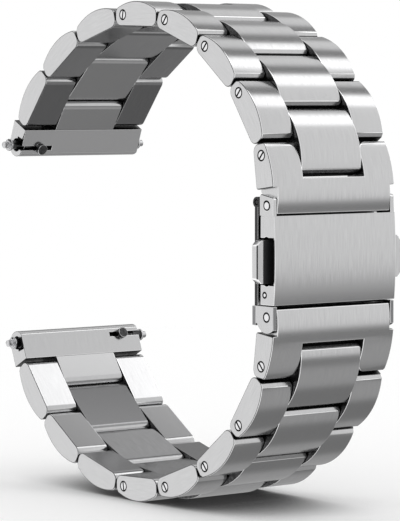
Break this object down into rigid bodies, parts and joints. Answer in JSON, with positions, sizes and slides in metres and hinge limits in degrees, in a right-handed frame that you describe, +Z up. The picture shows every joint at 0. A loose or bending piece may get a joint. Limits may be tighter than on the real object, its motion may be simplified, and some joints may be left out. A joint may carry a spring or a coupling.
{
  "type": "watch bracelet",
  "caption": "Steel link bracelet for a wristwatch: screwed outer links beside wide centre links, folding push-button clasp and quick-release end links.",
  "frame": {"origin": "middle of the bracelet's box, on the surface it stands on", "axes": "+X towards the clasp, +Y across the band, +Z up, with the watch end links at -X"},
  "size_m": [0.0622, 0.0266, 0.0717],
  "materials": {
    "link_steel": "satin brushed along the band, with polished edges",
    "clasp_steel": "satin brushed along the band",
    "pin_steel": "smooth turned steel"
  },
  "bodies": {
    "clasp_cover": {"clasp_cover": "clasp_steel"},
    "middle_blade": {"middle_blade": "clasp_steel", "blade_hinge_pins": "pin_steel"},
    "base_blade": {"base_blade": "clasp_steel", "button_springs": "pin_steel"},
    "near_push_button": {"near_push_button": "clasp_steel"},
    "far_push_button": {"far_push_button": "clasp_steel"},
    "upper_clasp_end": {"upper_clasp_end": "link_steel", "upper_clasp_end_pins": "pin_steel"},
    "upper_centre_link_1": {"upper_centre_link_1": "link_steel"},
    "upper_outer_links_1": {"upper_outer_links_1": "link_steel", "upper_link_pins_1": "pin_steel"},
    "upper_centre_link_2": {"upper_centre_link_2": "link_steel"},
    "upper_outer_links_2": {"upper_outer_links_2": "link_steel", "upper_link_pins_2": "pin_steel"},
    "upper_centre_link_3": {"upper_centre_link_3": "link_steel"},
    "upper_outer_links_3": {"upper_outer_links_3": "link_steel", "upper_link_pins_3": "pin_steel"},
    "upper_centre_link_4": {"upper_centre_link_4": "link_steel"},
    "upper_outer_links_4": {"upper_outer_links_4": "link_steel", "upper_link_pins_4": "pin_steel"},
    "upper_centre_link_5": {"upper_centre_link_5": "link_steel"},
    "upper_outer_links_5": {"upper_outer_links_5": "link_steel", "upper_link_pins_5": "pin_steel"},
    "upper_centre_link_6": {"upper_centre_link_6": "link_steel"},
    "upper_outer_links_6": {"upper_outer_links_6": "link_steel", "upper_link_pins_6": "pin_steel"},
    "upper_centre_link_7": {"upper_centre_link_7": "link_steel"},
    "upper_outer_links_7": {"upper_outer_links_7": "link_steel", "upper_link_pins_7": "pin_steel"},
    "upper_end_link": {"upper_end_link": "link_steel", "upper_spring_bar": "pin_steel"},
    "upper_release_tip": {"upper_release_tip": "pin_steel"},
    "lower_clasp_end": {"lower_clasp_end": "link_steel", "lower_clasp_end_pins": "pin_steel"},
    "lower_centre_link_1": {"lower_centre_link_1": "link_steel"},
    "lower_outer_links_1": {"lower_outer_links_1": "link_steel", "lower_link_pins_1": "pin_steel"},
    "lower_centre_link_2": {"lower_centre_link_2": "link_steel"},
    "lower_outer_links_2": {"lower_outer_links_2": "link_steel", "lower_link_pins_2": "pin_steel"},
    "lower_centre_link_3": {"lower_centre_link_3": "link_steel"},
    "lower_outer_links_3": {"lower_outer_links_3": "link_steel", "lower_link_pins_3": "pin_steel"},
    "lower_centre_link_4": {"lower_centre_link_4": "link_steel"},
    "lower_outer_links_4": {"lower_outer_links_4": "link_steel", "lower_link_pins_4": "pin_steel"},
    "lower_centre_link_5": {"lower_centre_link_5": "link_steel"},
    "lower_outer_links_5": {"lower_outer_links_5": "link_steel", "lower_link_pins_5": "pin_steel"},
    "lower_centre_link_6": {"lower_centre_link_6": "link_steel"},
    "lower_outer_links_6": {"lower_outer_links_6": "link_steel", "lower_link_pins_6": "pin_steel"},
    "lower_centre_link_7": {"lower_centre_link_7": "link_steel"},
    "lower_outer_links_7": {"lower_outer_links_7": "link_steel", "lower_link_pins_7": "pin_steel"},
    "lower_end_link": {"lower_end_link": "link_steel", "lower_spring_bar": "pin_steel"},
    "lower_release_tip": {"lower_release_tip": "pin_steel"}
  },
  "joints": [
    {"name": "cover_fold", "type": "hinge", "parent": "clasp_cover", "child": "middle_blade", "pos_m": [0.02893, 0, 0.03128], "axis": [0, -1, 0], "range_deg": [0, 165]},
    {"name": "base_fold", "type": "hinge", "parent": "middle_blade", "child": "base_blade", "pos_m": [0.02668, 0, 0.04378], "axis": [0, 1, 0], "range_deg": [0, 165]},
    {"name": "near_button_press", "type": "slide", "parent": "base_blade", "child": "near_push_button", "axis": [0, 1, 0], "range_m": [0, 0.0008], "stiffness_N_per_m": 800, "springref_m": -0.001},
    {"name": "far_button_press", "type": "slide", "parent": "base_blade", "child": "far_push_button", "axis": [0, -1, 0], "range_m": [0, 0.0008], "stiffness_N_per_m": 800, "springref_m": -0.001},
    {"name": "upper_clasp_end_hinge", "type": "hinge", "parent": "clasp_cover", "child": "upper_clasp_end", "pos_m": [0.02931, 0, 0.04338], "axis": [0, 1, 0], "range_deg": [-10.5, 8.5]},
    {"name": "upper_centre_link_1_hinge", "type": "hinge", "parent": "upper_clasp_end", "child": "upper_centre_link_1", "pos_m": [0.02817, 0, 0.05013], "axis": [0, 1, 0], "range_deg": [-4, 20]},
    {"name": "upper_outer_links_1_hinge", "type": "hinge", "parent": "upper_centre_link_1", "child": "upper_outer_links_1", "pos_m": [0.02685, 0, 0.05348], "axis": [0, 1, 0], "range_deg": [-5, 19]},
    {"name": "upper_centre_link_2_hinge", "type": "hinge", "parent": "upper_outer_links_1", "child": "upper_centre_link_2", "pos_m": [0.02334, 0, 0.05859], "axis": [0, 1, 0], "range_deg": [-9.1, 14.9]},
    {"name": "upper_outer_links_2_hinge", "type": "hinge", "parent": "upper_centre_link_2", "child": "upper_outer_links_2", "pos_m": [0.02086, 0, 0.06121], "axis": [0, 1, 0], "range_deg": [-9.1, 14.9]},
    {"name": "upper_centre_link_3_hinge", "type": "hinge", "parent": "upper_outer_links_2", "child": "upper_centre_link_3", "pos_m": [0.01596, 0, 0.065], "axis": [0, 1, 0], "range_deg": [-9.1, 14.9]},
    {"name": "upper_outer_links_3_hinge", "type": "hinge", "parent": "upper_centre_link_3", "child": "upper_outer_links_3", "pos_m": [0.0128, 0, 0.06674], "axis": [0, 1, 0], "range_deg": [-9.1, 14.9]},
    {"name": "upper_centre_link_4_hinge", "type": "hinge", "parent": "upper_outer_links_3", "child": "upper_centre_link_4", "pos_m": [0.00697, 0, 0.06885], "axis": [0, 1, 0], "range_deg": [-9.1, 14.9]},
    {"name": "upper_outer_links_4_hinge", "type": "hinge", "parent": "upper_centre_link_4", "child": "upper_outer_links_4", "pos_m": [0.00344, 0, 0.06953], "axis": [0, 1, 0], "range_deg": [-9.1, 14.9]},
    {"name": "upper_centre_link_5_hinge", "type": "hinge", "parent": "upper_outer_links_4", "child": "upper_centre_link_5", "pos_m": [-0.00276, 0, 0.06976], "axis": [0, 1, 0], "range_deg": [-9.1, 14.9]},
    {"name": "upper_outer_links_5_hinge", "type": "hinge", "parent": "upper_centre_link_5", "child": "upper_outer_links_5", "pos_m": [-0.00633, 0, 0.06933], "axis": [0, 1, 0], "range_deg": [-9.1, 14.9]},
    {"name": "upper_centre_link_6_hinge", "type": "hinge", "parent": "upper_outer_links_5", "child": "upper_centre_link_6", "pos_m": [-0.0123, 0, 0.06766], "axis": [0, 1, 0], "range_deg": [-9.1, 14.9]},
    {"name": "upper_outer_links_6_hinge", "type": "hinge", "parent": "upper_centre_link_6", "child": "upper_outer_links_6", "pos_m": [-0.01557, 0, 0.06616], "axis": [0, 1, 0], "range_deg": [-9.1, 14.9]},
    {"name": "upper_centre_link_7_hinge", "type": "hinge", "parent": "upper_outer_links_6", "child": "upper_centre_link_7", "pos_m": [-0.02074, 0, 0.06273], "axis": [0, 1, 0], "range_deg": [-9.1, 14.9]},
    {"name": "upper_outer_links_7_hinge", "type": "hinge", "parent": "upper_centre_link_7", "child": "upper_outer_links_7", "pos_m": [-0.0234, 0, 0.06031], "axis": [0, 1, 0], "range_deg": [-9.1, 14.9]},
    {"name": "upper_end_link_hinge", "type": "hinge", "parent": "upper_outer_links_7", "child": "upper_end_link", "pos_m": [-0.02728, 0, 0.05547], "axis": [0, 1, 0], "range_deg": [-13, 11]},
    {"name": "upper_release_slide", "type": "slide", "parent": "upper_end_link", "child": "upper_release_tip", "axis": [0, 1, 0], "range_m": [0, 0.0018], "stiffness_N_per_m": 300, "springref_m": -0.001},
    {"name": "lower_clasp_end_hinge", "type": "hinge", "parent": "base_blade", "child": "lower_clasp_end", "pos_m": [0.02931, 0, 0.02828], "axis": [0, 1, 0], "range_deg": [-13.5, 10.5]},
    {"name": "lower_centre_link_1_hinge", "type": "hinge", "parent": "lower_clasp_end", "child": "lower_centre_link_1", "pos_m": [0.02817, 0, 0.02152], "axis": [0, 1, 0], "range_deg": [-20, 4]},
    {"name": "lower_outer_links_1_hinge", "type": "hinge", "parent": "lower_centre_link_1", "child": "lower_outer_links_1", "pos_m": [0.02685, 0, 0.01817], "axis": [0, 1, 0], "range_deg": [-19, 5]},
    {"name": "lower_centre_link_2_hinge", "type": "hinge", "parent": "lower_outer_links_1", "child": "lower_centre_link_2", "pos_m": [0.02334, 0, 0.01306], "axis": [0, 1, 0], "range_deg": [-14.9, 9.1]},
    {"name": "lower_outer_links_2_hinge", "type": "hinge", "parent": "lower_centre_link_2", "child": "lower_outer_links_2", "pos_m": [0.02086, 0, 0.01044], "axis": [0, 1, 0], "range_deg": [-14.9, 9.1]},
    {"name": "lower_centre_link_3_hinge", "type": "hinge", "parent": "lower_outer_links_2", "child": "lower_centre_link_3", "pos_m": [0.01596, 0, 0.00665], "axis": [0, 1, 0], "range_deg": [-14.9, 9.1]},
    {"name": "lower_outer_links_3_hinge", "type": "hinge", "parent": "lower_centre_link_3", "child": "lower_outer_links_3", "pos_m": [0.0128, 0, 0.00492], "axis": [0, 1, 0], "range_deg": [-14.9, 9.1]},
    {"name": "lower_centre_link_4_hinge", "type": "hinge", "parent": "lower_outer_links_3", "child": "lower_centre_link_4", "pos_m": [0.00697, 0, 0.00281], "axis": [0, 1, 0], "range_deg": [-14.9, 9.1]},
    {"name": "lower_outer_links_4_hinge", "type": "hinge", "parent": "lower_centre_link_4", "child": "lower_outer_links_4", "pos_m": [0.00344, 0, 0.00212], "axis": [0, 1, 0], "range_deg": [-14.9, 9.1]},
    {"name": "lower_centre_link_5_hinge", "type": "hinge", "parent": "lower_outer_links_4", "child": "lower_centre_link_5", "pos_m": [-0.00276, 0, 0.00189], "axis": [0, 1, 0], "range_deg": [-14.9, 9.1]},
    {"name": "lower_outer_links_5_hinge", "type": "hinge", "parent": "lower_centre_link_5", "child": "lower_outer_links_5", "pos_m": [-0.00633, 0, 0.00232], "axis": [0, 1, 0], "range_deg": [-14.9, 9.1]},
    {"name": "lower_centre_link_6_hinge", "type": "hinge", "parent": "lower_outer_links_5", "child": "lower_centre_link_6", "pos_m": [-0.0123, 0, 0.004], "axis": [0, 1, 0], "range_deg": [-14.9, 9.1]},
    {"name": "lower_outer_links_6_hinge", "type": "hinge", "parent": "lower_centre_link_6", "child": "lower_outer_links_6", "pos_m": [-0.01557, 0, 0.00549], "axis": [0, 1, 0], "range_deg": [-14.9, 9.1]},
    {"name": "lower_centre_link_7_hinge", "type": "hinge", "parent": "lower_outer_links_6", "child": "lower_centre_link_7", "pos_m": [-0.02074, 0, 0.00892], "axis": [0, 1, 0], "range_deg": [-14.9, 9.1]},
    {"name": "lower_outer_links_7_hinge", "type": "hinge", "parent": "lower_centre_link_7", "child": "lower_outer_links_7", "pos_m": [-0.0234, 0, 0.01134], "axis": [0, 1, 0], "range_deg": [-14.9, 9.1]},
    {"name": "lower_end_link_hinge", "type": "hinge", "parent": "lower_outer_links_7", "child": "lower_end_link", "pos_m": [-0.02728, 0, 0.01618], "axis": [0, 1, 0], "range_deg": [-11, 13]},
    {"name": "lower_release_slide", "type": "slide", "parent": "lower_end_link", "child": "lower_release_tip", "axis": [0, -1, 0], "range_m": [0, 0.0018], "stiffness_N_per_m": 300, "springref_m": -0.001}
  ],
  "couplings": [
    {"joint": "base_fold", "follows": "cover_fold", "ratio": 1}
  ]
}
